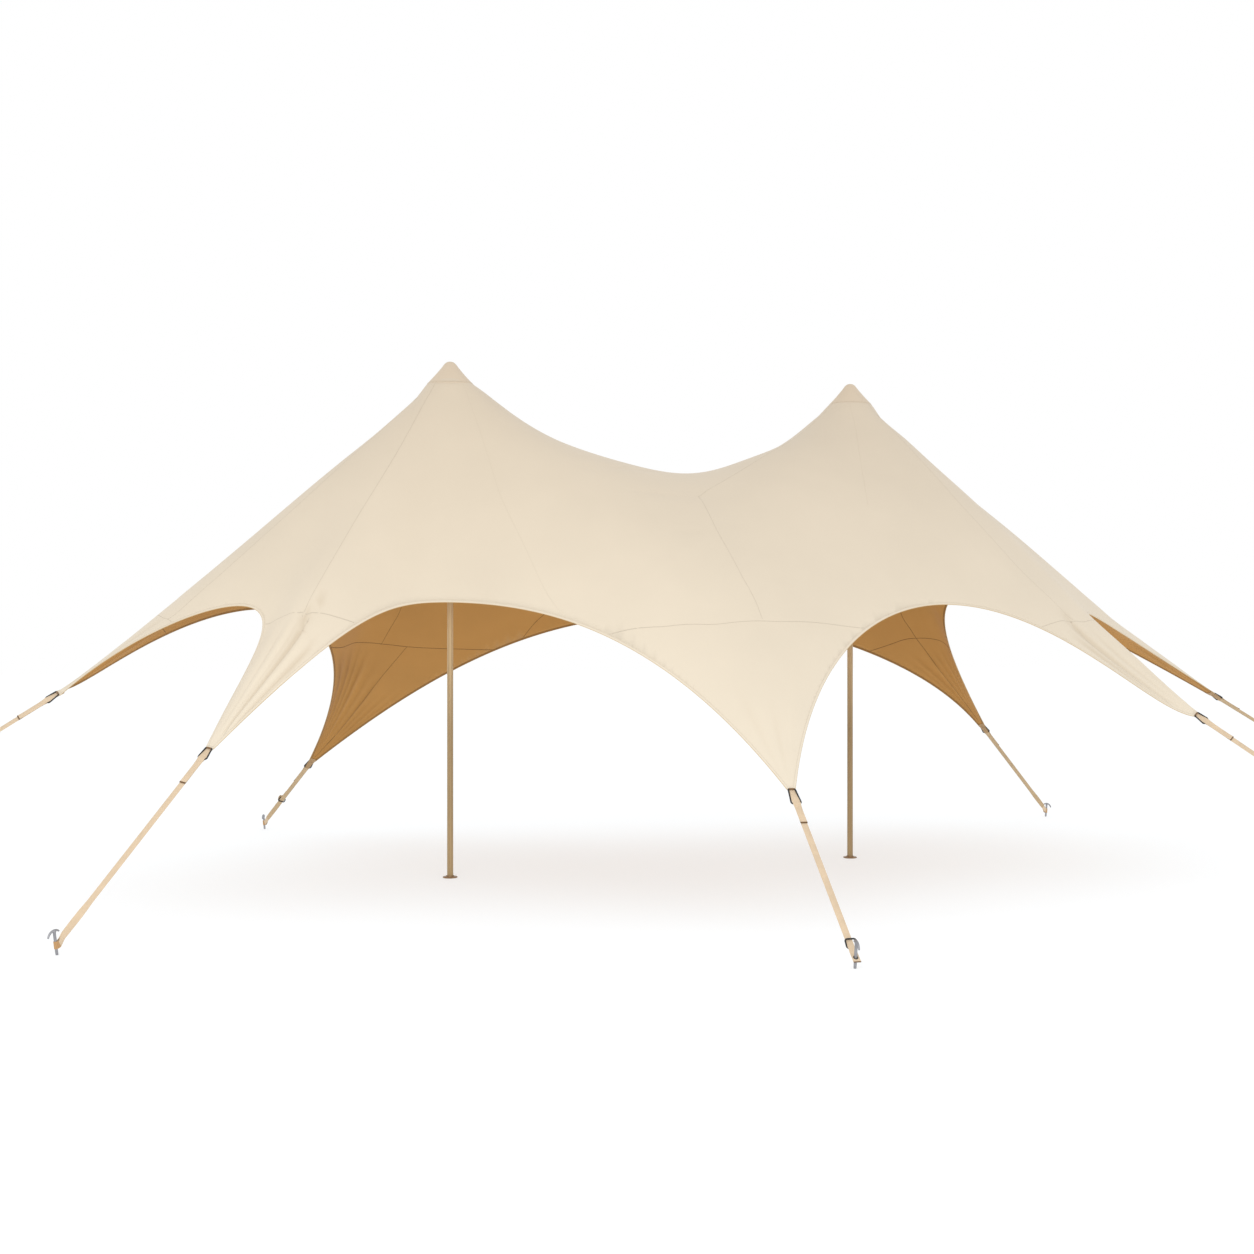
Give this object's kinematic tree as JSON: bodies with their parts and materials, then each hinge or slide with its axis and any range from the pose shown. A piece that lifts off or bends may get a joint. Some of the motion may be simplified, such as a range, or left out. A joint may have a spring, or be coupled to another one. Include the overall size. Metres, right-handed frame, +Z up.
{
  "type": "stretch tent",
  "caption": "Open-sided stretch tent: a membrane over two poles with twin peaks, its arms drawn down by webbing straps to ground pegs.",
  "frame": {"origin": "on the ground under the middle of the tent's whole footprint, pegs included", "axes": "+X along the line of the two poles towards the right end as seen from the front, +Y to the back, +Z up"},
  "size_m": [13.19, 6.8321, 3.6],
  "materials": {
    "canopy_fabric": "matt woven cream outside, golden brown inside",
    "strap_webbing": "matt woven webbing",
    "pole_bronze": "satin bronze anodised",
    "ring_black": "satin black",
    "peg_steel": "galvanised"
  },
  "bodies": {
    "root": {"arm_back_left": "canopy_fabric", "arm_back_right": "canopy_fabric", "arm_front": "canopy_fabric", "arm_front_left": "canopy_fabric", "arm_front_right": "canopy_fabric", "arm_left": "canopy_fabric", "arm_right": "canopy_fabric", "cap_left": "canopy_fabric", "cap_right": "canopy_fabric", "foot_left": "pole_bronze", "foot_right": "pole_bronze", "panel_back": "canopy_fabric", "panel_front_left": "canopy_fabric", "panel_front_middle": "canopy_fabric", "panel_front_right": "canopy_fabric", "panel_left_back": "canopy_fabric", "panel_left_front": "canopy_fabric", "panel_right_back": "canopy_fabric", "panel_right_front": "canopy_fabric", "peg_back_left": "peg_steel", "peg_back_right": "peg_steel", "peg_front": "peg_steel", "peg_front_left": "peg_steel", "peg_front_right": "peg_steel", "peg_left": "peg_steel", "peg_right": "peg_steel", "pole_left": "pole_bronze", "pole_right": "pole_bronze", "ring_back_left": "ring_black", "ring_back_right": "ring_black", "ring_front": "ring_black", "ring_front_left": "ring_black", "ring_front_peg": "ring_black", "ring_front_right": "ring_black", "ring_left": "ring_black", "ring_right": "ring_black", "slider_back_left": "ring_black", "strap_back_left": "strap_webbing", "strap_back_right": "strap_webbing", "strap_front": "strap_webbing", "strap_front_left": "strap_webbing", "strap_front_right": "strap_webbing", "strap_left": "strap_webbing", "strap_right": "strap_webbing"}
  },
  "joints": []
}
